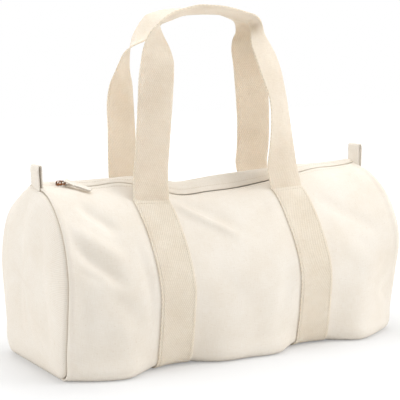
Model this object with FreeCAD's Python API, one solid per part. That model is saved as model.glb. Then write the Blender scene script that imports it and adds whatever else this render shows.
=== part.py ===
"""Canvas barrel bag: a sewn shell with a zipped mouth, two webbing loops and two end tabs. Millimetres, +Z up."""
import FreeCAD
import Part
import math
import os

V = FreeCAD.Vector

# Shell
length = 500.0            # end seam to end seam, along X
canvas_t = 1.2            # canvas thickness
taper = 100.0             # how far from each end seam the section starts to change
zip_y = -12.0             # the ridge with the zip stands this far in front of the middle of the base
ridge_z = 234.0           # top of the two lips
base_z = 2.0              # underside of the canvas, one webbing thickness off the floor
foot_out = 84.0           # middle of the base to where it turns up into the side
belly_out = 114.0         # widest place of the section
belly_z = 98.0
rim_belly_out = 106.0     # the same at the end seams
rim_belly_z = 132.0
ridge_slope = 0.83        # fall of the lips along the middle of the bag
rim_slope = 0.229         # fall of the lips at the end seams
root_out = 32.0           # zip to the top end of a sewn strap, where the side starts to curve
root_pull = 16.0          # how far the side keeps the lip's direction
high_pull = 50.0          # how far it keeps upright above its widest place
low_pull = 45.0           # and below it
rim_root_pull = 30.0
rim_high_pull = 40.0
rim_low_pull = 20.0
foot_pull = 24.0          # how far it keeps level beside the base
high_steps = 14           # flats on the upper side, the lower side and the base
low_steps = 12
base_steps = 4
end_bulge = 12.0          # how far an end panel stands out of its seam
dome_z = 118.0            # height of the middle of that bulge
binding_w = 12.0          # tape over the seam allowance, inside
binding_t = 1.5

# Mouth
lip_gap = 4.6             # slit between the two folded lips
fold_out = 28.0           # zip to the line on which a lip folds back
mouth_in = 3.0            # start of the taper to the stretch that opens
part_gap = 0.3            # gap left between cloth edges that part

# Webbing
webbing_w = 50.0
webbing_t = 2.0
strap_x = 107.0           # middle of each strap from the middle of the bag
handle_h = 245.0          # middle of a grip above the strap's top end
corner_n = 3.9            # squareness of the handle's arch
leg_lean = 0.07           # share by which the legs draw together on the way up
twist_n = 2.8             # how late the webbing makes its quarter turn
handle_steps = 11
grip_gap = 3.0            # between the two grips
grip_y = 10.0             # plane between them: both handles lean back
front_lean_n = 3.0        # the front one only near its grip
back_lean_n = 0.4         # the back one from its root

# Zip
tape_t = 0.7
tape_out = 24.0           # outer edge of the tape from the zip's middle
tape_bend = 13.0          # where the tape leaves the lip
tape_flat = 6.0           # where it runs level
tooth_in = 0.6            # half the gap between the two rows
tooth_out = 3.4
bead_in = 2.2
tooth_pitch = 3.0
tooth_lead = 0.2          # bead before the first tooth
tooth_t = 2.6
run = 0.35                # running clearance of the slider
wing_t = 1.25
slider_l = 14.0
slider_half = 5.2
flange_w = 1.0
post_t = 0.6
neck_t = 2.2
neck_l = 8.0
neck_rise = 5.4           # top of the bail over the lips
neck_corner = 1.5
eye_l = 5.2
eye_h = 3.6
eye_roof = 0.7
slider_in = 30.0          # end seam to the slider with the zip closed
slider_end_in = 45.0      # end seam to the slider with the zip open
row_past = 0.5            # teeth past the slider's ends
stop_l = 2.5
stop_gap = 2.0

# Pull
pull_yaw = 38.0           # the pull points this far round toward the front
wire_d = 1.6
ring_l = 8.5
ring_climb = 5.0          # the ring stands up from the pull's plane by this angle
pull_w = 8.0
pull_t = 2.4
pull_l = 36.0
pull_dip = 3.0            # the tape hangs below that plane by this angle
pull_play = 0.3           # round the ring's bar

# End tabs
tab_w = 25.0
tab_h = 24.0
tab_t = 1.5
tab_open = 3.0
tab_sewn = 6.0            # cut length below the top of the lips
tab_foot = 1.5            # bottom of the loop above the lips
tab_corner = 1.6

half = length / 2.0
mouth_half = half - taper - mouth_in
slider_x = slider_in - half
slider_end = half - slider_end_in


def save(shape, node):
    shape.exportStep(os.path.join("parts", node + ".step"))


def prism(points, sweep):
    """A solid from a closed outline of vectors, swept along a vector."""
    return Part.Face(Part.makePolygon(points + points[:1])).extrude(sweep)


def ruled(stations):
    """A solid through outlines given as lists of vectors with the same count."""
    return Part.makeLoft([Part.makePolygon(s + s[:1]) for s in stations], True, True)


def slope_at(x):
    """Fall of the lips at one place along the bag."""
    t = max(0.0, (abs(x) - (half - taper)) / taper)
    return ridge_slope + (rim_slope - ridge_slope) * t


def lip_top(out, slope):
    return ridge_z - (out - lip_gap / 2.0) * slope


def arc(poles, count):
    """Even points on a cubic arc, as (y, z), without the last."""
    c = Part.BezierCurve()
    c.setPoles([V(0, y, z) for y, z in poles])
    return [(p.y, p.z) for p in c.toShape().discretize(Number=count + 1)][:-1]


def side_line(side, slope, out, z, pulls):
    """One side of the section from the lip's edge to the base. side is -1 in front and 1 behind."""
    root = (zip_y + side * root_out, lip_top(root_out, slope))
    belly = (side * out, z)
    foot = (side * foot_out, base_z)
    k = pulls[0] / math.hypot(1.0, slope)
    high = [root, (root[0] + side * k, root[1] - slope * k), (belly[0], z + pulls[1]), belly]
    low = [belly, (belly[0], z - pulls[2]), (foot[0] + side * foot_pull, base_z), foot]
    edge = (zip_y + side * lip_gap / 2.0, ridge_z)
    return [edge] + arc(high, high_steps) + arc(low, low_steps) + [foot]


def section(slope, out, z, pulls):
    """Outer line of the shell from the front lip round under the base to the back lip."""
    base = [(foot_out * (2.0 * i / base_steps - 1.0), base_z) for i in range(1, base_steps)]
    return side_line(-1, slope, out, z, pulls) + base + side_line(1, slope, out, z, pulls)[::-1]


def offset(line, d):
    """The same line moved by d away from the inside of the bag."""
    out = []
    for i, (y, z) in enumerate(line):
        y0, z0 = line[max(i - 1, 0)]
        y1, z1 = line[min(i + 1, len(line) - 1)]
        a = (y - y0, z - z0) if i else (y1 - y, z1 - z)
        b = (y1 - y, z1 - z) if i < len(line) - 1 else a
        na = (a[1] / math.hypot(*a), -a[0] / math.hypot(*a))
        nb = (b[1] / math.hypot(*b), -b[0] / math.hypot(*b))
        n = (na[0] + nb[0], na[1] + nb[1])
        k = 2.0 * d / (n[0] ** 2 + n[1] ** 2)
        out.append((y + n[0] * k, z + n[1] * k))
    return out


os.makedirs("parts", exist_ok=True)

# Body panel: one length of canvas from lip to lip, drawn in a little at the end seams
mid_out = section(ridge_slope, belly_out, belly_z, (root_pull, high_pull, low_pull))
rim_out = section(rim_slope, rim_belly_out, rim_belly_z, (rim_root_pull, rim_high_pull, rim_low_pull))
mid_in = offset(mid_out, -canvas_t)
rim_in = offset(rim_out, -canvas_t)


def band(outer, inner, x):
    return [V(x, y, z) for y, z in outer + inner[::-1]]


shell = ruled([
    band(rim_out, rim_in, -half),
    band(mid_out, mid_in, -half + taper),
    band(mid_out, mid_in, half - taper),
    band(rim_out, rim_in, half),
])


def mouth(gap):
    """The space over the stretch that opens, from half the bag's height up."""
    x, y = mouth_half + gap, fold_out + gap
    return Part.makeBox(2.0 * x, 2.0 * y, ridge_z, V(-x, zip_y - y, ridge_z / 2.0))


save(shell.cut(mouth(part_gap)), "body_panel")

# Lips: the two stretches of the panel's edge that part when the zip is open
lips = sorted(shell.common(mouth(0.0)).Solids, key=lambda s: s.CenterOfMass.y)
save(lips[0], "front_lip")
save(lips[-1], "back_lip")


# End panels: set in the ends of the body panel and standing out in a shallow dome
def dome(side, shift):
    stations = []
    for k, out in ((1.0, 0.0), (0.9, 0.42), (0.72, 0.74), (0.45, 0.93), (0.15, 1.0)):
        x = side * (half - canvas_t + shift + end_bulge * out)
        stations.append([V(x, y * k, dome_z + (z - dome_z) * k) for y, z in rim_in])
    return ruled(stations)


for side, hand in ((-1, "left"), (1, "right")):
    save(dome(side, canvas_t).cut(dome(side, 0.0)), hand + "_end_panel")


# Seam bindings: tape over the seam allowance inside each end, from strap height to strap height
def wall_at(x):
    t = max(0.0, (abs(x) - (half - taper)) / taper)
    line = [(p[0] + (q[0] - p[0]) * t, p[1] + (q[1] - p[1]) * t) for p, q in zip(mid_in, rim_in)]
    return line[1:-1]


for side, hand in ((-1, "left"), (1, "right")):
    stations = []
    for x in (side * (half - canvas_t - binding_w), side * (half - canvas_t)):
        outer = wall_at(x)
        stations.append(band(outer, offset(outer, -binding_t), x))
    save(ruled(stations), hand + "_seam_binding")

# Sewn straps: webbing over the canvas from each handle's root to the middle of the base
base_mid = 1 + high_steps + low_steps + base_steps // 2
front_run = mid_out[1:base_mid + 1]
back_run = mid_out[base_mid:-1]
for line, name in ((front_run, "front"), (back_run, "back")):
    profile = line + offset(line, webbing_t)[::-1]
    for side, hand in ((-1, "left"), (1, "right")):
        x0 = side * strap_x - webbing_w / 2.0
        strap = prism([V(x0, y, z) for y, z in profile], V(webbing_w, 0, 0))
        save(strap, name + "_" + hand + "_strap")

# Handles: the free stretch of each webbing loop, turned a quarter between leg and grip
front_root = offset(front_run, webbing_t)[0]
back_root = offset(back_run, webbing_t)[-1]
grip_out = (webbing_w + grip_gap) / 2.0


def ribbon(side):
    """Webbing along the arch of one handle. side is -1 in front and 1 behind."""
    root = front_root if side < 0 else back_root
    foot_y = root[0] - side * webbing_t / 2.0
    lean_y = grip_y + side * grip_out - foot_y
    lean_n = front_lean_n if side < 0 else back_lean_n
    rows = []
    for i in range(2 * handle_steps + 1):
        hand = -1 if i <= handle_steps else 1
        s = math.pi / 2.0 * (1.0 - abs(i - handle_steps) / handle_steps)
        t = math.sin(s) ** (2.0 / corner_n)
        x = strap_x * (1.0 - leg_lean * t) * abs(math.cos(s)) ** (2.0 / corner_n)
        a = math.pi / 2.0 * t ** twist_n
        centre = V(hand * x, foot_y + lean_y * t ** lean_n, root[1] + part_gap + handle_h * t)
        rows.append((centre, V(hand * side * math.cos(a), -math.sin(a), 0)))
    last = len(rows) - 1
    outlines = []
    for i, (c, w) in enumerate(rows):
        ahead = rows[min(i + 1, last)][0] - rows[max(i - 1, 0)][0]
        if i == 0:
            ahead = V(0, 0, 1)
        if i == last:
            ahead = V(0, 0, -1)
        ahead.normalize()
        w = w - ahead * w.dot(ahead)
        w.normalize()
        hw = w * (webbing_w / 2.0)
        hn = w.cross(ahead) * (webbing_t / 2.0)
        outlines.append([c - hw - hn, c + hw - hn, c + hw + hn, c - hw + hn])
    return ruled(outlines)


save(ribbon(-1), "front_handle")
save(ribbon(1), "back_handle")

# Zip tapes: sewn under the lips, level where they carry the teeth
lip_drop = canvas_t * math.hypot(1.0, ridge_slope)
tape_z = lip_top(tape_bend, ridge_slope) - lip_drop
row_z = tape_z - tape_t / 2.0
row_low = row_z - tooth_t / 2.0


def tape_outline(side, x):
    slope = slope_at(x)
    drop = canvas_t * math.hypot(1.0, slope)
    upper = [(out, lip_top(out, slope) - drop) for out in (tape_out, tape_bend)]
    upper += [(tape_flat, tape_z), (tooth_out, tape_z)]
    lower = [(out, z - tape_t) for out, z in upper[::-1]]
    return [V(x, zip_y + side * out, z) for out, z in upper + lower]


def teeth(side, x0, x1):
    """A row of teeth on a bead, as one comb. The back row stands half a pitch on from the front one."""
    line = [(x0, tooth_out)]
    lead = tooth_lead + (tooth_pitch / 4.0 if side > 0 else 0.0)
    for i in range(int((x1 - x0) / tooth_pitch)):
        a = x0 + lead + i * tooth_pitch
        b = min(a + tooth_pitch / 2.0, x1)
        line += [(a, bead_in), (a, tooth_in), (b, tooth_in), (b, bead_in)]
    line += [(x1, tooth_out)]
    return prism([V(x, zip_y + side * out, row_low) for x, out in line], V(0, 0, tooth_t))


tape_end = half - canvas_t - tab_open / 2.0 - tab_t - part_gap
mouth_end = mouth_half + part_gap
left_row_x = slider_x - slider_l / 2.0 - row_past
right_row_x = slider_end + slider_l / 2.0 + row_past
end_tapes = []
end_teeth = []
for side, name in ((-1, "front"), (1, "back")):
    save(ruled([tape_outline(side, -mouth_half), tape_outline(side, mouth_half)]), name + "_zip_tape")
    save(teeth(side, -mouth_half, mouth_half), name + "_zip_teeth")
    for xs in ((-tape_end, taper - half, -mouth_end), (mouth_end, half - taper, tape_end)):
        end_tapes.append(ruled([tape_outline(side, x) for x in xs]))
    end_teeth.append(teeth(side, left_row_x, -mouth_end))
    end_teeth.append(teeth(side, mouth_end, right_row_x))
save(Part.makeCompound(end_tapes), "zip_end_tapes")
save(Part.makeCompound(end_teeth), "zip_end_teeth")

# Stops: two clips past the closed end of the rows, one bar past the open end
clip_w = tooth_out - tooth_in
clip_x = left_row_x - stop_gap - stop_l
stops = [
    Part.makeBox(stop_l, clip_w, tooth_t, V(clip_x, zip_y - tooth_out, row_low)),
    Part.makeBox(stop_l, clip_w, tooth_t, V(clip_x, zip_y + tooth_in, row_low)),
    Part.makeBox(stop_l, 2.0 * tooth_out, tooth_t, V(right_row_x + stop_gap, zip_y - tooth_out, row_low)),
]
save(Part.makeCompound(stops), "zip_stops")

# Slider: two wings with turned flanges, joined by a post that runs between the rows
wing_low = row_low + tooth_t + run
under_top = row_low - run
plan = [(-0.5, -0.75), (-0.3, -1.0), (0.36, -0.92), (0.5, -0.7), (0.5, 0.7), (0.36, 0.92), (-0.3, 1.0), (-0.5, 0.75)]


def wing(z):
    return prism([V(slider_x + slider_l * u, zip_y + slider_half * v, z) for u, v in plan], V(0, 0, wing_t))


slider = wing(wing_low).fuse(wing(under_top - wing_t))
flange_x = slider_x - slider_l * 0.25
flange_out = slider_half * 0.92
for y in (zip_y + flange_out - flange_w, zip_y - flange_out):
    for z0, z1 in ((tape_z + run, wing_low), (under_top, tape_z - tape_t - run)):
        slider = slider.fuse(Part.makeBox(slider_l * 0.6, flange_w, z1 - z0, V(flange_x, y, z0)))
post_l = slider_l * 0.4
post = Part.makeBox(post_l, post_t, wing_low - under_top, V(slider_x - post_l, zip_y - post_t / 2.0, under_top))
save(slider.fuse(post).removeSplitter(), "zip_slider")

# Bail: the arch on the slider that stands up through the slit
bail_z = wing_low + wing_t
neck_top = ridge_z + neck_rise
eye_z = neck_top - eye_roof - eye_h / 2.0
neck_half = neck_l / 2.0
arch = [(neck_half, bail_z), (neck_half, neck_top - neck_corner), (neck_half - neck_corner, neck_top)]
arch += [(-u, z) for u, z in arch[::-1]]
bail = prism([V(slider_x + u, zip_y - neck_t / 2.0, z) for u, z in arch], V(0, neck_t, 0))
eye = Part.makeBox(eye_l, 2.0 * neck_t, eye_h, V(slider_x - eye_l / 2.0, zip_y - neck_t, eye_z - eye_h / 2.0))
save(bail.cut(eye), "slider_bail")

# Pull: a wire ring through the bail and a folded tape round the ring's far bar. Its plane is the slope of the front lip
# beside the open end, the highest ground that it passes.
yaw = math.radians(pull_yaw)
reach = ring_l + pull_l
seat_x = slider_end + reach * math.cos(yaw)
seat_out = reach * math.sin(yaw) / 2.0
seat_turn = (seat_out - lip_gap / 2.0) * (ridge_slope - rim_slope) / taper
lift = V(-seat_turn, -slope_at(seat_x), 1.0)
lift.normalize()
away = V(math.cos(yaw), -math.sin(yaw), 0)
away = away - lift * away.dot(lift)
away.normalize()
bar = lift.cross(away)
pivot = V(slider_x, zip_y, eye_z)
climb = math.radians(ring_climb)
ring_run = away * math.cos(climb) + lift * math.sin(climb)
far = pivot + ring_run * ring_l
wire_r = wire_d / 2.0
across = bar * (pull_w / 2.0 + pull_play + wire_r)
ring = Part.makeCylinder(wire_r, 2.0 * across.Length + wire_d, pivot - across - bar * wire_r, bar)
ring = ring.fuse(Part.makeCylinder(wire_r, 2.0 * across.Length + wire_d, far - across - bar * wire_r, bar))
for corner in (pivot - across, pivot + across):
    ring = ring.fuse(Part.makeCylinder(wire_r, ring_l + wire_d, corner - ring_run * wire_r, ring_run))
save(ring.removeSplitter(), "pull_ring")

dip = math.radians(pull_dip)
tail = away * math.cos(dip) - lift * math.sin(dip)
half_t = tail.cross(bar) * (pull_t / 2.0)
edge = far - bar * (pull_w / 2.0)
eye_r = wire_r + pull_play
strip = [edge - half_t, edge + tail * pull_l - half_t, edge + tail * pull_l + half_t, edge + half_t]
pull = prism(strip, bar * pull_w)
pull = pull.fuse(Part.makeCylinder(eye_r + pull_t / 2.0, pull_w, edge, bar))
pull = pull.cut(Part.makeCylinder(eye_r, pull_w, edge, bar)).removeSplitter()
save(pull, "pull_tape")

# End tabs: short webbing folded into a loop, standing on the lips where each end seam catches it
seam = prism([V(-length, y, z) for y, z in rim_out], V(2.0 * length, 0, 0))
tab_in = tab_open / 2.0
tab_out = tab_in + tab_t
top_z = ridge_z + tab_h
outline = [(tab_out, ridge_z - tab_sewn), (tab_out, top_z - tab_corner), (tab_out - tab_corner, top_z)]
outline += [(-u, z) for u, z in outline[::-1]]
slot = [(tab_in, ridge_z + tab_foot), (tab_in, top_z - tab_t - tab_in), (0.0, top_z - tab_t)]
slot += [(-u, z) for u, z in slot[1::-1]]
for side, hand in ((-1, "left"), (1, "right")):
    x0 = side * (half - canvas_t)
    loop, hole = [
        prism([V(x0 + u, zip_y - tab_w / 2.0, z) for u, z in shape], V(0, tab_w, 0)) for shape in (outline, slot)
    ]
    save(loop.cut(hole).cut(seam), hand + "_tab")
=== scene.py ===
# %% [markdown]
# # A canvas barrel bag
# The bag is one long piece of cotton canvas sewn round two end panels, with a zip along the top and two
# loops of cotton webbing that go from the middle of the base up to the hand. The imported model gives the
# bodies that move, so it is loaded first and stays where it is. Every soft piece is then modelled over it
# in the same frame. Places are worked out in millimetres and become metres when a mesh is made.

# %% Load the frame
import math

import bmesh
import bpy
import numpy as np
from mathutils import Matrix, Vector, noise


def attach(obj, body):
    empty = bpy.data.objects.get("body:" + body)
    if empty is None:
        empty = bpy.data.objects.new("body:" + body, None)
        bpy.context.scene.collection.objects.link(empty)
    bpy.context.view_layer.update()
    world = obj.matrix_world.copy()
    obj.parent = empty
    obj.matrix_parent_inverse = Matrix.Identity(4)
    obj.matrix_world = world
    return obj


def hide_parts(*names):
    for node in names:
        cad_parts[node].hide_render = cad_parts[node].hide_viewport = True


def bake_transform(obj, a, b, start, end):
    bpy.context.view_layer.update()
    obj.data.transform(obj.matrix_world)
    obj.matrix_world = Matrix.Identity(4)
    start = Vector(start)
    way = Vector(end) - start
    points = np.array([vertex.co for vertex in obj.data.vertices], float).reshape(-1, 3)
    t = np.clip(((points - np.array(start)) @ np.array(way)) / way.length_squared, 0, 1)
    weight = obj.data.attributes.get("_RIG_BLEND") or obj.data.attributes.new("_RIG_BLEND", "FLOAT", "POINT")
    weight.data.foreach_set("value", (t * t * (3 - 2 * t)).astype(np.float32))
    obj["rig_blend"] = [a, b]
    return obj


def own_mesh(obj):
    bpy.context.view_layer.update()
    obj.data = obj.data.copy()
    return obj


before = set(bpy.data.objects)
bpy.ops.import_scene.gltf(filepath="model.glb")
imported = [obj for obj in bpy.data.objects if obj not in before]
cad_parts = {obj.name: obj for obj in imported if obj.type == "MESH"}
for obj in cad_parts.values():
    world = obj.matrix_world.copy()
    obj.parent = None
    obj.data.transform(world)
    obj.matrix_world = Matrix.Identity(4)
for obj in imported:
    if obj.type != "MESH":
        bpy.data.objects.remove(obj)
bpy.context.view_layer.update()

MM = 0.001
FRONT, BACK = -1, 1
LEFT, RIGHT = -1, 1
side_name = {FRONT: "front", BACK: "back"}

# %% [markdown]
# ## Camera
# The picture was taken from the front left, a little above the zip, with a long lens. The camera's place
# and axes were fitted to the straight seams, the tabs and the strap edges.

# %% Camera
camera_place = (-0.783724, -1.338958, 0.389138)
to_right = Vector((0.863305, -0.50448, -0.01426))
to_up = Vector((0.062178, 0.078278, 0.994991))

camera = bpy.data.objects.new("camera", bpy.data.cameras.new("camera"))
bpy.context.collection.objects.link(camera)
camera_axes = Matrix((to_right, to_up, to_right.cross(to_up))).transposed()
camera.matrix_world = Matrix.Translation(camera_place) @ camera_axes.to_4x4()
camera.data.sensor_width = 36.0
camera.data.lens = 102.2507
camera.data.shift_x, camera.data.shift_y = -0.003816, -0.06852
bpy.context.scene.camera = camera
print("camera at", tuple(round(v, 3) for v in camera.location))

# %% [markdown]
# ## A smooth line through a few measured places
# Cloth has no straight runs and no corners, so its shape is given at a few places and filled in by a smooth
# curve. The slope at each place is that of its neighbours, which keeps the curve close to what was
# measured.

# %% Smooth lines
def smooth(at, values, where):
    """Values at the places where, on a smooth curve through the values given at the places at."""
    at, values = np.asarray(at, float), np.asarray(values, float)
    where = np.atleast_1d(np.asarray(where, float))
    slope = np.gradient(values, at, axis=0)
    i = np.clip(np.searchsorted(at, where) - 1, 0, len(at) - 2)
    h = at[i + 1] - at[i]
    t = (where - at[i]) / h
    if values.ndim > 1:
        h, t = h[:, None], t[:, None]
    u = 1 - t
    from_first = (1 + 2 * t) * u * u * values[i] + t * u * u * h * slope[i]
    return from_first + t * t * (3 - 2 * t) * values[i + 1] - t * t * u * h * slope[i + 1]


def step(low, high, value):
    """0 below low, 1 above high, and a soft rise between them."""
    t = np.clip((np.asarray(value, float) - low) / (high - low), 0, 1)
    return t * t * (3 - 2 * t)


def run_along(line):
    """Distance along a line of points, at each point."""
    return np.concatenate([[0], np.cumsum(np.linalg.norm(np.diff(line, axis=0), axis=1))])


def spaced(line, count):
    """The same line with count points evenly along it."""
    far = run_along(line)
    even = np.linspace(0, far[-1], count)
    return np.stack([np.interp(even, far, line[:, c]) for c in range(line.shape[1])], axis=1)


def line_through(knots, dense=60):
    """A smooth line through knots, with dense points for each stretch between two of them."""
    far = run_along(knots)
    return smooth(far, knots, np.linspace(0, far[-1], dense * (len(knots) - 1)))


print("middle of a test line:", smooth([0, 1, 2], [0.0, 1.0, 0.0], 0.5))

# %% [markdown]
# ## The sewn shell
# On the real bag the body is one length of canvas. It stands up at both ends, where the end panels hold it,
# and sags between them, so the zip dips, the back lip rolls up behind it, and the lower corners fill out
# between the straps and are pulled in under them. The shell is therefore lofted: each row of the two tables
# gives the section at one place along the bag, and the sections between follow smoothly.

# %% Sections of the shell, in mm
half_length = 250.0
zip_y, slit, lip_step = -12.0, 2.6, 2.1
strap_x, webbing_w = 106.0, 50.0
stations = np.array([-250, -215, -180, -134, -80, -45, 0, 45, 80, 134, 180, 215, 250.0])
# height of the zip edge, of the handle's root and of the shoulder, reach and height of the belly, reach low
# on the side, reach of the foot
front_sections = np.array([
    [236, 228, 196, 106, 130, 93, 82],
    [234, 223, 187, 112, 117, 109, 105],
    [230, 217.5, 177, 118, 103, 119, 115],
    [231.5, 209, 169, 115, 98, 106, 89],
    [218, 207.5, 168.5, 114.5, 98, 104.5, 85],
    [209.5, 206, 170, 118, 96, 115, 107],
    [211, 206, 171, 120, 95, 118, 112],
    [213, 207, 171, 118, 96, 118, 114],
    [217, 209.5, 168.5, 114.5, 98, 106, 88],
    [225, 212, 170, 115, 98, 107, 90],
    [232, 219, 178, 118, 106, 119, 115],
    [233, 222.5, 188, 116, 121, 108, 101],
    [236, 226.5, 199, 112.5, 141, 92, 80],
])
# place and height of the crest behind the zip, height a little further back
back_crest = np.array([
    [-2, 238, 229.5], [-1, 236.5, 223.5], [-1, 235.5, 218], [-4, 235, 212],
    [-3, 232, 212], [0, 225.5, 213], [1, 228, 213.5], [0, 231.5, 213.5],
    [-2.5, 234, 212.5], [-3, 235.5, 212.5], [-1, 236.5, 218], [0, 238, 224],
    [-1, 239.5, 230],
])
# places across the bag at which those heights hold, and heights of the low reach and of the lower corner
root_y, behind_y, slope_y, shoulder_y = 44.0, 20.0, 52.0, 84.0
low_z, corner_z = 30.0, 7.0
# drop of the lip's edge under the zip line, and the stretch of x over which the back lip steps up
edge_drop, step_over = 1.2, (-205.0, -180.0)
# swell of the side and of the lower corner, and the share of the low reach in that corner
side_swell, corner_swell, low_share = 1.5, 5.0, 0.3
# how far the back's slope hangs under the mean of its neighbours, and its shoulder under the front's
slope_drop, shoulder_drop = 4.0, 12.0
# how much fuller the back gets towards the end seams
full_over, full_slope, full_shoulder, full_belly, full_low = (200.0, 250.0), 6.0, 10.0, 5.0, 6.0
floor_gap, strap_lift, lift_fade = 0.6, 2.0, 12.0


def beside_strap(x):
    """Distance of x from the nearest strap's edge, below 0 under a strap."""
    return np.abs(np.abs(x) - strap_x) - webbing_w / 2


def floor_at(x):
    """Height of the canvas under the bag: the webbing lifts it where a strap goes under it."""
    return floor_gap + strap_lift * (1 - step(0, lift_fade, beside_strap(x)))


def section(side, x):
    """Outline of one side at x from the zip edge to the middle of the base, as (y, z) in mm."""
    zip_z, root_z, shoulder_z, belly, belly_z, low, foot = smooth(stations, front_sections, x)[0]
    rise = lip_step * float(step(*step_over, x)) if side == BACK else 0.0
    edge = (zip_y + side * slit / 2, zip_z - edge_drop + rise)
    if side == FRONT:
        top = [edge, (-root_y, root_z), (-shoulder_y, shoulder_z)]
    else:
        crest_y, crest_z, behind_z = smooth(stations, back_crest, x)[0]
        full = float(step(*full_over, abs(x)))
        slope_z = 0.5 * (behind_z + shoulder_z) - slope_drop + full_slope * full
        back_z = shoulder_z - shoulder_drop + full_shoulder * full
        top = [edge, (crest_y, crest_z), (behind_y, behind_z), (slope_y, slope_z), (shoulder_y, back_z)]
        belly, low, foot = belly + full_belly * full, low + full_low * full, foot + full_low * full
    corner = low_share * low + (1 - low_share) * foot + corner_swell
    floor_z = float(floor_at(x))
    swell = (0.5 * (belly + low) + side_swell, 0.5 * (belly_z + low_z))
    under = [(foot, floor_z), (foot * 0.5, floor_z), (0, floor_z)]
    low_part = [(belly, belly_z), swell, (low, low_z), (corner, corner_z)] + under
    line = line_through(np.array(top + [(side * y, z) for y, z in low_part]))
    line[:, 1] = np.maximum(line[:, 1], floor_z)
    return line


print("front section at the middle:", np.round(spaced(section(FRONT, 0), 8), 1).tolist())

# %% [markdown]
# ## Folds in the canvas
# A bag that has been filled and put down shows soft diagonal folds where the cloth hangs between a seam and
# a strap, and a faint unevenness everywhere. Each fold is a line on one side with a width and a depth, and
# the cloth is pushed in or out along its own normal. Under a strap the sewn webbing keeps the cloth flat,
# and at the end seams the turned-in edge makes a low roll.

# %% Folds
# (x, z) of both ends, half width and depth in mm; a depth above 0 stands out
folds = {
    FRONT: [
        ((-246, 172), (-178, 118), 9, -6.5), ((-240, 140), (-206, 122), 6, -2.0),
        ((-244, 194), (-172, 142), 9, 4.0), ((-214, 212), (-172, 180), 8, -6.0),
        ((-237, 112), (-229, 40), 9, -3.0), ((-200, 112), (-158, 60), 14, -3.5),
        ((-150, 160), (-143, 70), 7, -1.8), ((-78, 201), (-6, 160), 5, 5.0),
        ((-72, 210), (-2, 174), 8, -4.2), ((-60, 130), (10, 62), 18, -2.0),
        ((62, 196), (18, 150), 10, -1.8), ((66, 120), (40, 30), 12, -1.6),
        ((146, 194), (214, 150), 11, -2.6), ((150, 150), (205, 90), 14, 1.6),
        ((243, 122), (200, 66), 12, -2.4), ((249, 84), (222, 56), 10, -4.5),
    ],
    BACK: [
        ((-246, 180), (-190, 130), 10, -3.5), ((-200, 110), (-150, 60), 14, -2.0),
        ((-70, 200), (0, 160), 9, -2.0), ((60, 190), (10, 140), 11, 1.8),
        ((60, 110), (-20, 60), 16, -2.0), ((246, 176), (180, 120), 11, -3.5),
        ((150, 150), (210, 80), 14, -1.8), ((-150, 170), (-142, 80), 7, -1.6),
    ],
}
# shares of a fold's length in which it fades in
fold_fade = (-0.15, 0.25)
wide_size, wide_depth, wide_seed = (74, 58), 1.7, 3.0
fine_size, fine_depth, fine_seed = (27, 31), 0.5, 9.0
# distances over which the folds fade in
strap_fade, base_fade, seam_fade, zip_fade = (0, 14), (0.5, 26), (0, 30), (2, 26)
# roll beside the end seam, and the dip of the seam itself
roll_height, roll_at, roll_width, dip_depth, dip_width = 1.3, 4.5, 2.6, 0.9, 1.6
roll_fade = (3, 14)
shell_columns, shell_rows = 200, 130
# usual distance from the zip to the middle of the base
usual_run = 375


def fold_depth(x, z, side):
    """How far the folds of one side push the cloth out at (x, z), in mm."""
    out = np.zeros_like(x)
    for (ax, az), (bx, bz), width, depth in folds[side]:
        run = np.array([bx - ax, bz - az], float)
        t = ((x - ax) * run[0] + (z - az) * run[1]) / (run @ run)
        off = np.abs((x - ax) * run[1] - (z - az) * run[0]) / np.linalg.norm(run)
        out += depth * np.exp(-(off / width) ** 2) * step(*fold_fade, t) * step(*fold_fade, 1 - t)
    return out


def uneven(side, x, far):
    """Small swells of the cloth at x and at the distance far from the zip, in mm."""
    wide = noise.noise((x / wide_size[0], far / wide_size[1], wide_seed * side)) * wide_depth
    return wide + noise.noise((x / fine_size[0], far / fine_size[1], fine_seed + side)) * fine_depth


def normals_of(points):
    """Unit normals of a grid of points, with columns along the bag and rows down the section."""
    along, down = np.gradient(points, axis=0), np.gradient(points, axis=1)
    n = np.cross(down, along)
    return n / np.maximum(np.linalg.norm(n, axis=2, keepdims=True), 1e-9)


def shell(side):
    """Points of one half of the shell, in mm: columns along the bag, rows from the zip edge to the base."""
    rows = shell_rows + 1
    xs = np.linspace(-half_length, half_length, shell_columns + 1)
    points = np.array([np.column_stack([np.full(rows, x), spaced(section(side, x), rows)]) for x in xs])
    x, z = points[:, :, 0], points[:, :, 2]
    far = np.linspace(0, usual_run, rows)[None, :] + 0 * x
    rough = np.array([[uneven(side, a, b) for a, b in zip(*column)] for column in zip(x, far)])
    seam = half_length - np.abs(x)
    out = (fold_depth(x, z, side) + rough) * step(*strap_fade, beside_strap(x))
    out *= step(*base_fade, z) * step(*seam_fade, seam) * step(*zip_fade, far)
    roll = roll_height * np.exp(-((seam - roll_at) / roll_width) ** 2)
    out += (roll - dip_depth * np.exp(-(seam / dip_width) ** 2)) * step(*roll_fade, z)
    moved = points + normals_of(points) * (-side) * out[:, :, None]
    moved[:, :, 2] = np.maximum(moved[:, :, 2], floor_at(x))
    return moved


shells = {side: shell(side) for side in (FRONT, BACK)}
outward = {side: normals_of(shells[side]) * (-side) for side in (FRONT, BACK)}
print("front shell spans", shells[FRONT].min((0, 1)).round(1), shells[FRONT].max((0, 1)).round(1))

# %% [markdown]
# ## Finishes
# Everything soft on the bag is undyed cotton, so the finishes differ in how the thread is woven more than
# in colour. Short functions stand for the kinds of node that every finish needs.

# %% Colour and node helpers
def linear(code):
    """An sRGB hex colour as linear red, green, blue and alpha."""
    parts = [int(code[i:i + 2], 16) / 255 for i in (1, 3, 5)]
    return tuple(c / 12.92 if c <= 0.04045 else ((c + 0.055) / 1.055) ** 2.4 for c in parts) + (1.0,)


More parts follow.
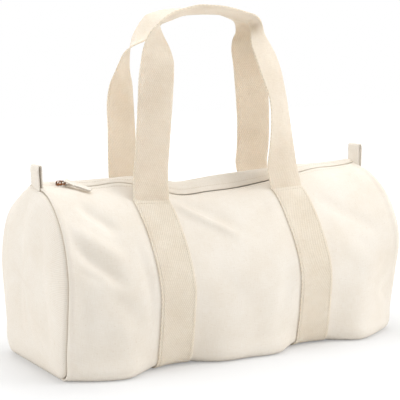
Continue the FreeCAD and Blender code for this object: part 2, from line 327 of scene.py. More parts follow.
def add(tree, kind, inputs=None, **settings):
    """A new node with its settings, and with values or links on its inputs."""
    node = tree.nodes.new(kind)
    for name, value in settings.items():
        setattr(node, name, value)
    for name, value in (inputs or {}).items():
        if isinstance(value, bpy.types.NodeSocket):
            tree.links.new(value, node.inputs[name])
        else:
            node.inputs[name].default_value = value
    return node


def maths(tree, operation, *values):
    """Result of a Math node on its values or links."""
    return add(tree, "ShaderNodeMath", dict(enumerate(values)), operation=operation).outputs[0]


def grain(tree, place, scale, detail, roughness=0.5):
    """Result of a Noise texture at a place."""
    inputs = {"Vector": place, "Scale": scale, "Detail": detail, "Roughness": roughness}
    return add(tree, "ShaderNodeTexNoise", inputs).outputs["Fac"]


def ranged(tree, value, low=0.0, high=1.0, to_low=0.0, to_high=1.0, **settings):
    """A value carried from the range low to high into the range to_low to to_high."""
    inputs = {"Value": value, "From Min": low, "From Max": high, "To Min": to_low, "To Max": to_high}
    return add(tree, "ShaderNodeMapRange", inputs, **settings).outputs[0]


def mixed(tree, share, first, second, how="MIX"):
    """Mix of two colours or links."""
    inputs = {"Factor": share, 6: first, 7: second}
    return add(tree, "ShaderNodeMix", inputs, data_type="RGBA", blend_type=how).outputs[2]


def mapped(tree, place, **change):
    """A place scaled or turned by a Mapping node."""
    return add(tree, "ShaderNodeMapping", {"Vector": place, **change}).outputs[0]


def bands(tree, place, pitch_mm, way, distortion, detail, detail_scale):
    """Result of a Wave texture whose bands are pitch_mm apart on a map in metres."""
    inputs = {"Vector": place, "Scale": math.pi / 10 / (pitch_mm * MM), "Distortion": distortion,
              "Detail": detail, "Detail Scale": detail_scale}
    return add(tree, "ShaderNodeTexWave", inputs, bands_direction=way).outputs["Fac"]


def raised(tree, height, strength, distance_mm):
    """Normal of a bump made from a height."""
    inputs = {"Height": height, "Strength": strength, "Distance": distance_mm * MM}
    return add(tree, "ShaderNodeBump", inputs).outputs[0]


def finish_named(name):
    """An empty material, its tree and its output."""
    material = bpy.data.materials.new(name)
    material.use_nodes = True
    material.node_tree.nodes.clear()
    return material, material.node_tree, add(material.node_tree, "ShaderNodeOutputMaterial")


def surface(tree, out, colour, rough, normal, more):
    """Link a Principled shader with these inputs and more to the output."""
    inputs = {"Base Color": colour, "Roughness": rough, "Normal": normal, **more}
    shader = add(tree, "ShaderNodeBsdfPrincipled", inputs)
    tree.links.new(shader.outputs[0], out.inputs["Surface"])


print("cream in linear light:", [round(c, 3) for c in linear("#f3e9da")])

# %% [markdown]
# ### Cotton canvas
# Plain-woven unbleached cotton, about 12 oz: a matt cloth with a thread every 0.6 mm, thick slubs here and
# there, and a few specks of seed husk. At this picture's size a 0.6 mm thread is under half a pixel, so the
# weave is drawn at 1.3 mm. The map is in metres along and across the cloth, so that the threads run with
# the piece and not with the room.

# %% Cotton canvas
# repeats in a metre: a slub along and across its thread, the patchy tone, the husk specks
slub_along, slub_across, patch_scale, husk_scale = 90.0, 1100.0, 17.0, 420.0
husk_colour = "#b89b72"
cloth_gloss = {"Specular IOR Level": 0.25, "Sheen Weight": 0.12, "Sheen Roughness": 0.6}
light_in = {"Subsurface Radius": (1.0, 0.93, 0.84), "Subsurface Scale": 2.0 * MM}


def woven(name, light, deep, thread_mm, rib_mm, slub, bump_mm, twill=0.0, through=0.0):
    """A cotton weave in two tones; a rib of rib_mm slants by twill degrees, and through lets light in."""
    material, tree, out = finish_named(name)
    uv = add(tree, "ShaderNodeTexCoord").outputs["UV"]
    warp, weft = [bands(tree, uv, thread_mm, way, 0.35, 1.0, 0.6) for way in ("X", "Y")]
    weave = maths(tree, "MULTIPLY", warp, weft)
    if rib_mm:
        slanted = mapped(tree, uv, Rotation=(0.0, 0.0, math.radians(twill)))
        weave = maths(tree, "ADD", bands(tree, slanted, rib_mm, "X", 0.9, 2.0, 0.8), weave)
    long_slubs = grain(tree, mapped(tree, uv, Scale=(slub_along, slub_across, 1.0)), 1.0, 1.0)
    cross_slubs = grain(tree, mapped(tree, uv, Scale=(slub_across, slub_along, 1.0)), 1.0, 1.0)
    slubs = maths(tree, "ADD", long_slubs, cross_slubs)
    patch = grain(tree, uv, patch_scale, 3.0, 0.55)
    tone = maths(tree, "MULTIPLY_ADD", slubs, 0.5, patch)
    body = mixed(tree, ranged(tree, tone, 0.72, 1.28), linear(light), linear(deep))
    shaded = mixed(tree, 1.0, body, ranged(tree, weave, 0.0, 0.9, 0.88, 1.0), "MULTIPLY")
    husk = ranged(tree, grain(tree, uv, husk_scale, 0.0), 0.74, 0.8, 0.0, 0.14)
    colour = mixed(tree, husk, shaded, linear(husk_colour))
    rough = ranged(tree, patch, to_low=0.82, to_high=0.96)
    normal = raised(tree, maths(tree, "MULTIPLY_ADD", slubs, slub, weave), 0.45, bump_mm)
    surface(tree, out, colour, rough, normal, {**cloth_gloss, **light_in, "Subsurface Weight": through})
    return material


cotton_canvas = woven("unbleached_cotton_canvas", "#f8f1e6", "#f0e6d7", 1.3, 0.0, 0.5, 0.25)
print(cotton_canvas.name, len(cotton_canvas.node_tree.nodes), "nodes")

# %% [markdown]
# ### Cotton webbing
# Webbing is woven much tighter and thicker, on a narrow loom, in a twill whose ribs slant across its
# length. It is a shade greyer than the canvas, because more of the surface is thread edge in shadow. The
# ribs of the real one are about 1.5 mm apart and are drawn at 2.6 mm, which is the finest that shows here.
# Webbing lets some light through, so a handle with white behind it looks as pale as one that is lit from
# the front; a share of scattering under the surface does that.

# %% Cotton webbing, tape and thread
cotton_webbing = woven("cotton_webbing", "#efe5d5", "#e0d3bf", 1.6, 2.6, 0.4, 0.5, twill=28.0, through=0.7)
zip_tape_cloth = woven("zip_tape_twill", "#e9dcc6", "#dccbb0", 0.9, 1.8, 0.2, 0.2)
cotton_thread = woven("cotton_thread", "#f4eadb", "#e3d5bf", 0.5, 0.0, 0.2, 0.1)
print("webbing, tape and thread ready")

# %% [markdown]
# ### Metal and moulded plastic
# The slider, bail and ring are cast zinc with a copper plating that was darkened and then rubbed back, so
# the raised places are bright and the hollows brown. Object coordinates carry the wear, at about 2 mm.

# %% Metal and moulded plastic
wear_scale, flow_scale, fine_bump_mm = 480.0, 300.0, 0.1


def plated(name, bright, dark):
    """Plated metal with darker hollows and rubbed places."""
    material, tree, out = finish_named(name)
    place = add(tree, "ShaderNodeTexCoord").outputs["Object"]
    worn = grain(tree, place, wear_scale, 4.0, 0.6)
    colour = mixed(tree, ranged(tree, worn, 0.38, 0.62), linear(bright), linear(dark))
    rough = ranged(tree, worn, to_low=0.22, to_high=0.46)
    surface(tree, out, colour, rough, raised(tree, worn, 0.12, fine_bump_mm), {"Metallic": 1.0})
    return material


def moulded(name, light, deep):
    """Moulded acetal: smooth, slightly waxy, with a faint flow mark."""
    material, tree, out = finish_named(name)
    place = add(tree, "ShaderNodeTexCoord").outputs["Object"]
    flow = grain(tree, place, flow_scale, 2.0)
    colour = mixed(tree, flow, linear(light), linear(deep))
    rough = ranged(tree, flow, to_low=0.38, to_high=0.52)
    surface(tree, out, colour, rough, raised(tree, flow, 0.08, fine_bump_mm), {"IOR": 1.48})
    return material


antique_copper = plated("antiqued_copper_plate", "#b07a55", "#4a2c1c")
tooth_acetal = moulded("cream_acetal", "#dfd0b6", "#cdbb9d")
for name in ("zip_slider", "slider_bail", "pull_ring", "zip_stops"):
    node_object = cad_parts[name]
    node_object.data.materials.clear()
    node_object.data.materials.append(antique_copper)
print("metal pieces:", antique_copper.users)

# %% [markdown]
# ## From a grid of points to a piece of cloth
# Every cloth piece here is a strip or a sheet, so all of them start from Blender's grid and have its
# vertices moved to the points that were worked out. The map of each piece is measured along its own threads
# in metres, and a Solidify modifier gives the thickness inwards, so that the points stay on the outer face.

# %% Cloth pieces
canvas_t, tape_t = 1.2, 0.6
join_within = 0.02


def made(name, bm, material):
    """The bmesh as a smooth-shaded object with its finish."""
    mesh = bpy.data.meshes.new(name)
    bm.to_mesh(mesh)
    bm.free()
    mesh.shade_smooth()
    mesh.materials.append(material)
    piece = bpy.data.objects.new(name, mesh)
    bpy.context.collection.objects.link(piece)
    return piece


def link(name, bm, material):
    """The bmesh as a piece of the part."""
    piece = made(name, bm, material)
    return piece


def lengths(points):
    """Mean distance along the columns and along the rows of a grid of points."""
    across = np.linalg.norm(np.diff(points, axis=0), axis=2).mean(1)
    along = np.linalg.norm(np.diff(points, axis=1), axis=2).mean(0)
    return np.concatenate([[0], np.cumsum(across)]), np.concatenate([[0], np.cumsum(along)])


def sheet_of(name, points, material, thick_mm, flip=False, closed=False):
    """A sheet on a grid of points in mm, with its map in metres and its thickness on the inner side."""
    wide, tall = points.shape[:2]
    far_u, far_v = lengths(points)
    bm = bmesh.new()
    uv = bm.loops.layers.uv.new("UVMap")
    bmesh.ops.create_grid(bm, x_segments=wide - 1, y_segments=tall - 1, size=1.0)
    where = {}
    for v in bm.verts:
        where[v] = round((v.co.x + 1) / 2 * (wide - 1)), round((v.co.y + 1) / 2 * (tall - 1))
    for face in bm.faces:
        for corner in face.loops:
            i, j = where[corner.vert]
            corner[uv].uv = (far_u[i] * MM, far_v[j] * MM)
    for v, (i, j) in where.items():
        v.co = Vector(points[i, j]) * MM
    if flip:
        bmesh.ops.reverse_faces(bm, faces=bm.faces[:])
    if closed:
        bmesh.ops.remove_doubles(bm, verts=bm.verts[:], dist=join_within * MM)
    piece = link(name, bm, material)
    wall = piece.modifiers.new("thickness", "SOLIDIFY")
    wall.thickness, wall.offset = thick_mm * MM, -1.0
    return piece


print("cloth helpers ready")

# %% [markdown]
# ## Body of the bag
# Each half of the shell starts under the zip, where the edge of the canvas is turned under by 14 mm, goes
# round that fold and down to the middle of the base. The turned edge is a straight strip under the first
# rows of the shell, joined to them by a half round, so the lip of the mouth is as thick and soft as a real
# hem. At both ends the canvas is turned in for the seam, so four more columns go round that edge and into
# the bag.

# %% Body canvas with its turned edges
hem, hem_rows, bend_rows = 14.0, 6, 5
hem_gap = 2 * canvas_t + 0.3
# how far past the seam line and how far in from the outer face, in mm
turn_in = [(-5.0, 3.6), (-0.6, 3.1), (0.8, 1.9), (0.7, 0.7)]


def with_seams(grid, out):
    """A grid of the shell with the edges turned in at both ends, and its outward normals."""
    left = [grid[0] + np.array([-past, 0, 0]) - out[0] * deep for past, deep in turn_in]
    right = [grid[-1] + np.array([past, 0, 0]) - out[-1] * deep for past, deep in turn_in[::-1]]
    ends = len(turn_in)
    return np.concatenate([left, grid, right]), np.concatenate([[out[0]] * ends, out, [out[-1]] * ends])


def with_hem(points, out):
    """The shell's points with the turned-under edge before them."""
    tangent = points[:, 1] - points[:, 0]
    tangent /= np.linalg.norm(tangent, axis=1, keepdims=True)
    under = points[:, 0] - out[:, 0] * hem_gap
    centre = points[:, 0] - out[:, 0] * hem_gap / 2
    turned = [under + tangent * hem * (1 - k / hem_rows) for k in range(hem_rows)]
    angles = [math.pi * k / bend_rows for k in range(bend_rows)]
    rounded = [centre + (-out[:, 0] * math.cos(a) - tangent * math.sin(a)) * hem_gap / 2 for a in angles]
    return np.concatenate([np.stack(turned + rounded, axis=1), points], axis=1)


def body_half(side):
    """One half of the body canvas."""
    points = with_hem(*with_seams(shells[side], outward[side]))
    name = f"body_canvas_{side_name[side]}"
    return sheet_of(name, points, cotton_canvas, canvas_t, flip=side == FRONT)


body_front, body_back = body_half(FRONT), body_half(BACK)
print("body canvas:", [len(p.data.polygons) for p in (body_front, body_back)], "faces")

# %% [markdown]
# The lips fold back when the bag is opened, and only the middle of the mouth can turn: at both ends the
# tabs and the end seams hold it. A blend gives the turn across the fold line, and its weights are then
# faded out towards the ends, which opens the mouth in the shape of an eye and tears nothing.

# %% Lips that fold back
fold_y = {FRONT: -40.0, BACK: 16.0}
mouth_body = {FRONT: "front_mouth", BACK: "back_mouth"}
# how far outside and inside the fold line the turn starts and ends, in mm, and its height in m
turn_start, turn_end, fold_z = 2, 18, 0.2
# negative distances from the middle of the bag, and heights, over which the turn fades in
mouth_fade, top_fade = (-188, -60), (180, 196)


def fold_with_mouth(piece, side):
    """Blend a piece between the bag and one lip, fading out at the mouth's ends and away from the top."""
    outer = (0, (fold_y[side] + side * turn_start) * MM, fold_z)
    inner = (0, (fold_y[side] - side * turn_end) * MM, fold_z)
    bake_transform(piece, "bag", mouth_body[side], start=outer, end=inner)
    turn = piece.data.attributes["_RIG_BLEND"].data
    for v, weight in zip(piece.data.vertices, turn):
        weight.value *= float(step(*mouth_fade, -abs(v.co.x) / MM) * step(*top_fade, v.co.z / MM))
    return piece


fold_with_mouth(body_front, FRONT)
fold_with_mouth(body_back, BACK)
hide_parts("body_panel", "front_lip")
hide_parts("back_lip")

# %% [markdown]
# ## End panels
# Each end is one oval of canvas, sewn to the body all round and pushed out by what the bag holds. It is a
# grid in rings: the outer rings lie just inside the edge of the shell, so the two meet in the seam, and the
# rest rise to the middle. A few upright folds come from the slack in the oval. A tape covers the seam on
# the inside.

# %% End panels
end_middle = np.array([0.0, -4.0, 116.0])
end_rings, loop_points = 34, 181
# share of the seam's outline and depth inside the seam of the two rings that are turned in
tucked_rings = [(0.968, 5.0), (0.972, 0.4)]
first_ring, ring_gap = 0.974, 0.4
dome_height, dome_round, dome_blunt = 19.0, 3.6, 0.75
# swells of the panel, and the share of the way in over which they grow
end_size, end_depth, end_seed, end_grow = (60, 75), 1.8, 20.0, 0.35
# heights over the floor and distances under the top over which the folds fade in
end_top, low_fade, high_fade = 236, (8, 60), (8, 46)
# place across, lean, half width and depth in mm
end_folds = {
    LEFT: [(-62, 0.10, 13, -3.0), (-28, 0.04, 12, 2.2), (8, -0.05, 14, -2.8), (46, -0.10, 15, 2.0),
           (74, -0.18, 12, -2.4)],
    RIGHT: [(-55, 0.12, 14, -2.6), (-12, 0.0, 13, 2.0), (30, -0.08, 14, -2.6), (66, -0.15, 13, 1.8)],
}
binding_share, binding_from, binding_to, binding_columns = 0.962, 236, 247, 5


def end_loop(hand, share):
    """The edge of the shell at one end, drawn in towards its middle to the share of its size."""
    column = 0 if hand == LEFT else -1
    loop = np.concatenate([shells[FRONT][column], shells[BACK][column][-2::-1]])
    loop = spaced(np.concatenate([loop, loop[:1]]), loop_points)
    loop[:, 1:] = end_middle[1:] + (loop[:, 1:] - end_middle[1:]) * share
    return loop


def end_slack(hand, y, z):
    """How far the upright folds of one end push the cloth out at (y, z), in mm."""
    slack = 0.0
    for at_y, lean, width, depth in end_folds[hand]:
        off = y - at_y - lean * (z - end_middle[2])
        fold = depth * np.exp(-(off / width) ** 2)
        slack = slack + fold * step(*low_fade, z) * step(*high_fade, end_top - z)
    return slack


def end_points(hand):
    """Rings of points of one end panel, from the seam to the middle."""
    out = [end_loop(hand, share) - np.array([hand * deep, 0, 0]) for share, deep in tucked_rings]
    for k in range(end_rings + 1):
        r = first_ring * (1 - k / end_rings)
        ring = end_loop(hand, r)
        y, z = ring[:, 1], ring[:, 2]
        dome = dome_height * (1 - r ** dome_round) ** dome_blunt
        places = [(a / end_size[0], b / end_size[1], end_seed + hand) for a, b in zip(y, z)]
        rough = np.array([noise.noise(place) for place in places]) * end_depth
        uneven_end = (end_slack(hand, y, z) + rough) * step(0, end_grow, 1 - r)
        ring[:, 0] = hand * (half_length + ring_gap + dome + uneven_end)
        out.append(ring)
    return np.array(out)


for hand, name in ((LEFT, "left"), (RIGHT, "right")):
    flip = hand == RIGHT
    points = end_points(hand)
    end = sheet_of(f"{name}_end_canvas", points, cotton_canvas, canvas_t, flip, closed=True)
    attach(end, "bag")
    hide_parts(f"{name}_end_panel")
    inside = np.array([end_loop(hand, binding_share) + np.array([hand * (x - half_length), 0, 0])
                       for x in np.linspace(binding_from, binding_to, binding_columns)])
    binding = sheet_of(f"{name}_binding_tape", inside, zip_tape_cloth, tape_t, flip, closed=True)
    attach(binding, "bag")
    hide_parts(f"{name}_seam_binding")

# %% [markdown]
# ## Webbing loops
# One length of 50 mm webbing makes each handle: it starts under the base, is sewn up the side, runs free
# over the hand and is sewn down the other side, and it is modelled as that one length. The sewn stretch
# takes its points from the shell below it, so it lies on every swell of the canvas. Above that the webbing
# turns from facing the front to lying flat in the hand, and the front one is creased across where it turns
# down again. Such a strip is best given by its two edges: the table holds places along both, and straight
# rows join them. Those that show were read off the photograph through the camera above, at judged depths;
# the rest were set.

# %% Edges of the free stretch
# both edges in mm: first the edge that starts outermost in front and innermost behind
handle_edges = {
    FRONT: [
        ((-129.8, -44, 240), (-79.8, -44, 240)), ((-126, -43.6, 280), (-76.2, -43.6, 280)),
        ((-121.3, -43, 336), (-70.5, -43, 335.5)), ((-118, -42.5, 373), (-66.8, -41.5, 375)),
        ((-115.5, -43, 387), (-65.5, -39, 386.5)), ((-112.9, -46.4, 404.9), (-64.9, -27.6, 404.8)),
        ((-108.5, -49.4, 417.4), (-67.9, -18.6, 419.4)), ((-101.5, -50.2, 427.5), (-68.6, -11.8, 428.7)),
        ((-92.4, -49.7, 435.1), (-67.7, -6.3, 435.4)), ((-72.5, -45.5, 448.2), (-58, 2, 437.5)),
        ((-53.2, -43.5, 454), (-45, 6, 441.3)), ((-27.6, -43, 459.3), (-24, 7, 448)),
        ((-7.8, -43, 459.2), (-6, 7, 449.5)), ((12.3, -43, 457.7), (14, 7, 450)),
        ((35.7, -43, 453), (40, 7, 448.6)), ((50, -42.5, 449.5), (60, 7, 444)),
        ((59.9, -41, 447.1), (76.6, 5.5, 439)), ((68.1, -36, 444.2), (72.7, -3, 435.9)),
        ((76.2, -30, 439.9), (69.5, -11, 432.9)), ((82.9, -25, 432.5), (64.7, -21, 427.1)),
        ((88.9, -20, 423.5), (59.9, -30, 420.1)), ((100.5, -15, 410.8), (56.7, -38, 406.5)),
        ((106, -16.9, 400.5), (58.8, -41, 396.5)), ((112.5, -21.9, 379), (62.5, -46.1, 378.5)),
        ((115.7, -24.9, 361.5), (69, -49.1, 358)), ((119.8, -27.9, 333.5), (76, -52.1, 334.5)),
        ((124.2, -30.7, 296), (77.1, -53.3, 297)), ((125.1, -37.5, 262.5), (76, -49.5, 264)),
        ((125.8, -43, 238), (75.4, -45.2, 238.5)),
    ],
    BACK: [
        ((-82.5, 38, 234), (-132.5, 26, 236)), ((-83.5, 43.1, 296), (-132, 26.9, 298)),
        ((-84.6, 45.1, 340), (-130.9, 27.9, 342)), ((-84, 48.7, 358.5), (-128.2, 25.3, 359)),
        ((-85.2, 52.7, 374.8), (-122.5, 21.3, 374.5)), ((-84.6, 55, 388), (-117, 19, 387)),
        ((-83, 56.5, 401), (-110.5, 16.5, 400)), ((-79.4, 59, 412.5), (-99.9, 13, 409)),
        ((-75.9, 60, 422), (-91.9, 12, 412.3)), ((-68.7, 60, 434.9), (-77.9, 12, 418.1)),
        ((-62.3, 60, 443.7), (-67.1, 12, 427.4)), ((-54.4, 60, 451.5), (-56.3, 12, 438)),
        ((-42.8, 60, 455.5), (-45.5, 12, 445.7)), ((-26.9, 60, 459.4), (-30, 12, 453.5)),
        ((-8, 60, 461), (-11.2, 12, 459.7)), ((9, 60, 461), (9.3, 12, 462.5)),
        ((30, 60.5, 459), (30, 12, 461.5)), ((52, 60.5, 456.5), (50, 12, 458)),
        ((74, 60, 451), (72, 12, 451)), ((89, 57, 441), (100, 12, 436)),
        ((86.5, 52, 427), (111, 13, 424)), ((77.5, 47, 416), (118, 18, 410)),
        ((73.5, 44, 402), (119.5, 25, 396)), ((74.5, 42, 385), (122.8, 29, 382)),
        ((76.5, 41, 356), (125.4, 30.6, 355)), ((78, 40.5, 333), (126.9, 30.1, 333)),
        ((77.6, 37.5, 290), (127.4, 30.5, 290)), ((75.2, 35.5, 262), (126.0, 30.8, 262)),
        ((71.6, 33, 240), (122.5, 29.5, 240)), ((72.5, 29, 227), (122.5, 26.5, 227)),
    ],
}
print("places:", {side_name[side]: len(run) for side, run in handle_edges.items()})

# %% Webbing
webbing_t, cloth_gap = 1.9, 0.4
webbing_lift = cloth_gap + webbing_t
# distance from the zip at which the webbing leaves the canvas
root_out = {FRONT: 33.0, BACK: 33.5}
loop_body = {FRONT: "front_loop", BACK: "back_loop"}
strap_rows, free_count, across_count = 120, 230, 13
# rows from the zip to past the shoulder
top_rows = 60
# heights above the root over which a handle's turn grows
bend_from, bend_to = 1, 20
selvedge_round, selvedge_angle = 0.5, 50


def column_at(grid, x):
    """Column of a grid of the shell at x, as a number with its fraction."""
    return (x + half_length) / (2 * half_length) * (grid.shape[0] - 1)


def sample(grid, x, share):
    """A grid of the shell at x and at a share of the way from the zip to the middle of the base."""
    i, j = column_at(grid, x), share * (grid.shape[1] - 1)
    i0, j0 = min(int(i), grid.shape[0] - 2), min(int(j), grid.shape[1] - 2)
    a, b = i - i0, j - j0
    here = grid[i0, j0] * (1 - a) + grid[i0 + 1, j0] * a
    below = grid[i0, j0 + 1] * (1 - a) + grid[i0 + 1, j0 + 1] * a
    return here * (1 - b) + below * b


def shell_top(side, x):
    """Distances from the zip and heights of the top of the shell's column nearest to x."""
    column = shells[side][int(round(column_at(shells[side], x)))][:top_rows]
    return np.abs(column[:, 1] - zip_y), column[:, 2]


def root_share(side, x):
    """The share of the way down the shell at which the webbing leaves it."""
    return float(np.interp(root_out[side], shell_top(side, x)[0], np.arange(top_rows))) / shell_rows


def sewn_rows(side, hand, lift):
    """Rows across one strap, from the middle of the base to the root, lifted off the canvas by lift mm."""
    xs = hand * strap_x + hand * side * np.linspace(-webbing_w / 2, webbing_w / 2, across_count)
    rows = []
    for share in np.linspace(1, root_share(side, hand * strap_x), strap_rows):
        here = np.array([sample(shells[side], x, share) for x in xs])
        way = np.array([sample(outward[side], x, share) for x in xs]).mean(0)
        rows.append(here + way / np.linalg.norm(way) * lift)
    return np.array(rows)


def free_rows(side, start, end):
    """Rows across the free stretch between the two roots."""
    places = [(start[0], start[-1])] + handle_edges[side] + [(end[0], end[-1])]
    line = spaced(line_through(np.array([np.concatenate(pair) for pair in places], float)), free_count)
    share = np.linspace(0, 1, across_count)[None, :, None]
    return line[:, None, :3] * (1 - share) + line[:, None, 3:] * share


for side in (FRONT, BACK):
    left, right = sewn_rows(side, LEFT, webbing_lift), sewn_rows(side, RIGHT, webbing_lift)
    free = free_rows(side, left[-1], right[-1])
    grid = np.concatenate([left, free[1:-1], right[::-1]]).transpose(1, 0, 2)
    webbing = sheet_of(f"{side_name[side]}_webbing", grid, cotton_webbing, webbing_t)
    selvedge = webbing.modifiers.new("selvedge", "BEVEL")
    selvedge.width, selvedge.segments = selvedge_round * MM, 2
    selvedge.limit_method, selvedge.angle_limit = "ANGLE", math.radians(selvedge_angle)
    root_top = max(left[-1][:, 2].max(), right[-1][:, 2].max())
    start, end = [(0, 0, (root_top + above) * MM) for above in (bend_from, bend_to)]
    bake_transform(webbing, "bag", loop_body[side], start=start, end=end)
    parts = ("left_strap", "right_strap", "handle")
    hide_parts(*(f"{side_name[side]}_{part}" for part in parts))
    print(webbing.name, "root at", left[-1].mean(0).round(1), "length", round(lengths(grid)[1][-1]), "mm")

# %% [markdown]
# ## Tabs
# A 25 mm strip of the same pale cotton is folded in half and caught in each end seam, to hold while the zip
# is drawn. It is modelled along a narrow arch, so its fold and the slit between its two legs are real.

# %% Tabs
tab_from, tab_to, tab_t = -25.5, -0.5, 1.3
tab_columns, tab_rows = 9, 60
for hand, name, high in ((LEFT, "left", 261.0), (RIGHT, "right", 263.0)):
    inner_leg = [(248.0, 228), (248.3, 238), (248.7, 249), (248.7, high - 4.5)]
    bend = [(249.5, high - 0.9), (251.0, high - 0.7), (252.0, high - 4)]
    outer_leg = [(251.8, 249), (251.4, 238), (251.0, 228)]
    line = spaced(line_through(np.array(inner_leg + bend + outer_leg)), tab_rows)
    ys = np.linspace(tab_from, tab_to, tab_columns)
    points = np.array([[(hand * x, y, z) for x, z in line] for y in ys])
    tab = sheet_of(f"{name}_tab_strip", points, cotton_canvas, tab_t, flip=hand == LEFT)
    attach(tab, "bag")
    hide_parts(f"{name}_tab")
print("tabs made")

# %% [markdown]
# ## Zip
# The zip lies about 10 mm under the lips and is hidden by them when it is closed. Each side is a twill tape
# with a row of moulded teeth on its edge. At both ends the tapes are at the height of the slider, and
# between them they sag with the lips.

# %% Zip tapes and teeth
tape_drop, slider_z, sag_fade = 10.44, 223.56, (165, 200)
# room under the canvas, and the distances from the zip over which it is made
canvas_room, room_over = 4.4, (6, 22)
tape_reach, tape_x = np.linspace(0.7, 24, 10), np.linspace(-246, 246, 124)
tooth_pitch, first_tooth, tooth_end, tooth_shift = 3.0, -76, 74, 0.75
tooth_size, tooth_out, tooth_drop = (1.3, 3.6, 2.4), 1.2, 0.3


def tape_z(x):
    """Height of the zip tape at x."""
    sag = smooth(stations, front_sections[:, 0], x)[0] - tape_drop
    return float(slider_z + (sag - slider_z) * (1 - step(*sag_fade, abs(x))))


def tape_point(side, x, out):
    """A point of the zip tape at x and out mm from the zip, kept under the canvas above it."""
    canvas_z = float(np.interp(out, *shell_top(side, x)))
    too_high = min(0.0, canvas_z - canvas_room - tape_z(x))
    return x, zip_y + side * out, tape_z(x) + too_high * float(step(*room_over, out))


def teeth_of(side):
    """A row of teeth as one bmesh."""
    bm = bmesh.new()
    for n in range(first_tooth, tooth_end):
        x = n * tooth_pitch + side * tooth_shift
        middle = Vector((x, zip_y + side * tooth_out, tape_z(x) - tooth_drop)) * MM
        place = Matrix.Translation(middle) @ Matrix.Diagonal([size * MM for size in tooth_size] + [1])
        bmesh.ops.create_cube(bm, size=1.0, matrix=place)
    return bm


for side in (FRONT, BACK):
    name = side_name[side]
    points = np.array([[tape_point(side, x, out) for out in tape_reach] for x in tape_x])
    tape = sheet_of(f"{name}_tape", points, zip_tape_cloth, tape_t, flip=side == BACK)
    fold_with_mouth(tape, side)
    teeth = link(f"{name}_teeth", teeth_of(side), tooth_acetal)
    fold_with_mouth(teeth, side)
    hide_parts(f"{name}_zip_tape", *(["zip_end_tapes"] if side == BACK else []))
    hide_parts(f"{name}_zip_teeth", *(["zip_end_teeth"] if side == BACK else []))
print("zip rows made")

# %% [markdown]
# ## Cloth pull
# A strip of canvas goes through the wire ring and is folded flat on itself. It hangs from the bar of the
# ring, lies on the front lip and droops a little at its far end. When the slider is at the other end the
# canvas stands higher there.

# %% Cloth pull
# middle of the ring's bar in mm, and the ways of the bar and of the pull
ring_bar = Vector((-213.262, -17.175, 236.64))
bar_way = Vector((0.594426, 0.760831, 0.260373))
pull_way = Vector((0.8038, -0.5716, -0.1646)).normalized()
pull_up = pull_way.cross(bar_way).normalized()
half_t, half_w, pull_t = 1.5, 4.6, 0.6
pull_columns, pull_rows = 7, 56
droop_mm, droop_over = -4.2, (2, 38)
# one leg of the fold from its end to the bar: distance from the bar and height over the pull's middle
flat_part = [(34.0, half_t * 0.7), (20.0, half_t * 0.85), (8.0, half_t)]
upper_leg = flat_part + [(3.5, 2.8), (0.5, 3.4), (-1.7, 2.5)]
lower_leg = [(along, -up) for along, up in upper_leg[::-1]]
fold_end = (-2.6, 0.0)
line = spaced(line_through(np.array(upper_leg + [fold_end] + lower_leg)), pull_rows)


def pull_point(u, along, up):
    """A point of the pull: u along the bar, along the pull from the bar, and up from its middle."""
    droop = droop_mm * float(step(*droop_over, along))
    return ring_bar + bar_way * u + pull_way * along + pull_up * (up + droop)


us = np.linspace(-half_w, half_w, pull_columns)
pull_points = np.array([[pull_point(u, along, up) for along, up in line] for u in us])
pull = sheet_of("pull_cloth", pull_points, cotton_canvas, pull_t)
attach(pull, "pull")
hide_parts("pull_tape")
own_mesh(pull)
print("pull reaches to", pull_points[:, 0].mean(0).round(1))

# %% [markdown]
# ## Stitching
# The webbing and the lips are held by lockstitch in thick cotton thread. On the outside each stitch is a
# short raised dash that sinks in at both ends, so every row is a chain of small drawn-out balls along a
# line on the cloth. Thread on the straps rides with the bag, and thread on the lips folds with them.

# %% Stitches
stitch_pitch, strap_thread_t, lip_thread_t, thread_lift = 3.6, 0.75, 0.6, 0.1
# half length of a dash as a share of the pitch
dash_share = 0.39
# where across a strap its edge rows run, and the height at which they start
edge_shares, stitch_floor = (0.07, 0.93), 5
# distance of the lip's row from its edge, and columns left free at the end seams
lip_row, free_columns = 6.5, 8


def stitches(bm, line, thick):
    """Add a row of dashes along a line of points in mm."""
    run = spaced(line, max(2, int(run_along(line)[-1] / stitch_pitch) + 1))
    for a, b in zip(run[:-1], run[1:]):
        way = Vector(b - a)
        turn = way.to_track_quat("X", "Z").to_matrix().to_4x4()
        dash = (way.length * dash_share * MM, thick / 2 * MM, thick / 2 * MM, 1)
        place = Matrix.Translation(Vector(a + b) / 2 * MM) @ turn @ Matrix.Diagonal(dash)
        bmesh.ops.create_icosphere(bm, subdivisions=1, radius=1.0, matrix=place)


def strap_stitches(bm, side, hand):
    """Add the rows along both edges of one strap and across its top."""
    rows = sewn_rows(side, hand, webbing_lift + thread_lift)
    middle = across_count // 2
    low = int(np.argmax(rows[:, middle, 2] > stitch_floor))
    edges = [rows[low:-2, 0] * (1 - k) + rows[low:-2, -1] * k for k in edge_shares]
    across = np.array([edges[0][-1], rows[-3, middle], edges[1][-1]])
    for line in edges + [across]:
        stitches(bm, line, strap_thread_t)


def lip_line(side):
    """Points of the row along one lip."""
    grid, out = shells[side], outward[side]
    deep = np.cumsum(np.linalg.norm(np.diff(grid, axis=1), axis=2), axis=1)
    line = []
    for i in range(free_columns, len(grid) - free_columns):
        j = int(np.searchsorted(deep[i], lip_row))
        line.append(grid[i, j] + out[i, j] * thread_lift)
    return np.array(line)


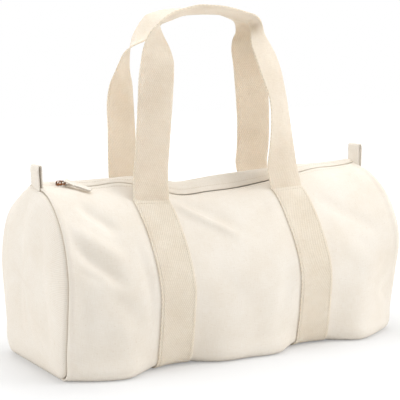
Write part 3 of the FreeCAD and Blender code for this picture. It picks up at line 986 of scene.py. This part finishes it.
for side in (FRONT, BACK):
    bm = bmesh.new()
    for hand in (LEFT, RIGHT):
        strap_stitches(bm, side, hand)
    thread = link(f"{side_name[side]}_strap_thread", bm, cotton_thread)
    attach(thread, "bag")
    bm = bmesh.new()
    stitches(bm, lip_line(side), lip_thread_t)
    fold_with_mouth(link(f"{side_name[side]}_lip_thread", bm, cotton_thread), side)
    print(thread.name, len(thread.data.polygons), "faces")

# %% [markdown]
# ## Floor and light
# The bag stands on a plain white sweep. The floor is white to the camera and to mirrors, and still takes
# the shadow of the bag: its white share grows with the distance from the bag's base, so that no edge shows
# behind it. The key lamp stands on the right, so that the left of the front is a little darker. A second
# lamp lights the left end, a third the top, and a fourth stands behind and shines through the handles.

# %% Floor and light
floor_half = 6.0
# half size of the bag's base in m, distances from it over which the white share grows, and its least value
base_half, white_from, white_to, least_white = (0.25, 0.1, 0.0), 0.01, 0.32, 0.23
white = linear("#ffffff")
# place in m, size in m and power in W
lamps = {
    "key": ((1.2, -1.0, 0.8), 0.8, 9.1),
    "fill": ((-1.8, 0.3, 0.9), 1.2, 9.8),
    "top": ((0.1, 0.0, 1.9), 1.4, 16.5),
    "back": ((0.1, 1.7, 1.1), 1.4, 6.0),
}
lamp_aim = Vector((0, 0, 0.15))


def seen_share(tree):
    """1 where the ray comes from the camera or from a mirror or glass, and 0 elsewhere."""
    path = add(tree, "ShaderNodeLightPath").outputs
    both = maths(tree, "MAXIMUM", path["Is Camera Ray"], path["Is Glossy Ray"])
    return maths(tree, "MAXIMUM", both, path["Is Transmission Ray"])


def between(tree, share, first, second):
    """Mix of two shader nodes."""
    inputs = {0: share, 1: first.outputs[0], 2: second.outputs[0]}
    return add(tree, "ShaderNodeMixShader", inputs)


def vectors(tree, operation, *values):
    """Outputs of a Vector Math node on its values or links."""
    return add(tree, "ShaderNodeVectorMath", dict(enumerate(values)), operation=operation).outputs


def from_base(tree):
    """Distance of a place on the floor from the bag's base."""
    place = add(tree, "ShaderNodeTexCoord").outputs["Object"]
    past = vectors(tree, "SUBTRACT", vectors(tree, "ABSOLUTE", place)[0], base_half)[0]
    return vectors(tree, "LENGTH", vectors(tree, "MAXIMUM", past, (0.0, 0.0, 0.0))[0])["Value"]


paper, tree, out = finish_named("white_paper_sweep")
lit = add(tree, "ShaderNodeBsdfDiffuse", {"Color": linear("#f4f4f4")})
matt = add(tree, "ShaderNodeBsdfDiffuse", {"Color": linear("#e4e4e4")})
glow = add(tree, "ShaderNodeEmission", {"Color": white, "Strength": 1.16})
apart = from_base(tree)
white_share = ranged(tree, apart, white_from, white_to, least_white, interpolation_type="SMOOTHSTEP")
shown = between(tree, white_share, matt, glow)
tree.links.new(between(tree, seen_share(tree), lit, shown).outputs[0], out.inputs["Surface"])
bm = bmesh.new()
bmesh.ops.create_grid(bm, x_segments=1, y_segments=1, size=floor_half)
floor = made("floor", bm, paper)

world = bpy.data.worlds.new("pale_sky")
bpy.context.scene.world = world
world.use_nodes = True
tree = world.node_tree
tree.nodes.clear()
sky = add(tree, "ShaderNodeBackground", {"Color": white, "Strength": 0.62})
seen = add(tree, "ShaderNodeBackground", {"Color": white, "Strength": 1.0})
world_out = add(tree, "ShaderNodeOutputWorld")
tree.links.new(between(tree, seen_share(tree), sky, seen).outputs[0], world_out.inputs["Surface"])

for name, (place, size, watts) in lamps.items():
    lamp = bpy.data.objects.new(name, bpy.data.lights.new(name, "AREA"))
    lamp.data.size, lamp.data.energy = size, watts
    lamp.location = place
    lamp.rotation_euler = (lamp_aim - lamp.location).to_track_quat("-Z", "Y").to_euler()
    bpy.context.collection.objects.link(lamp)
bpy.context.scene.view_settings.view_transform = "Standard"
print("floor and lamps set")
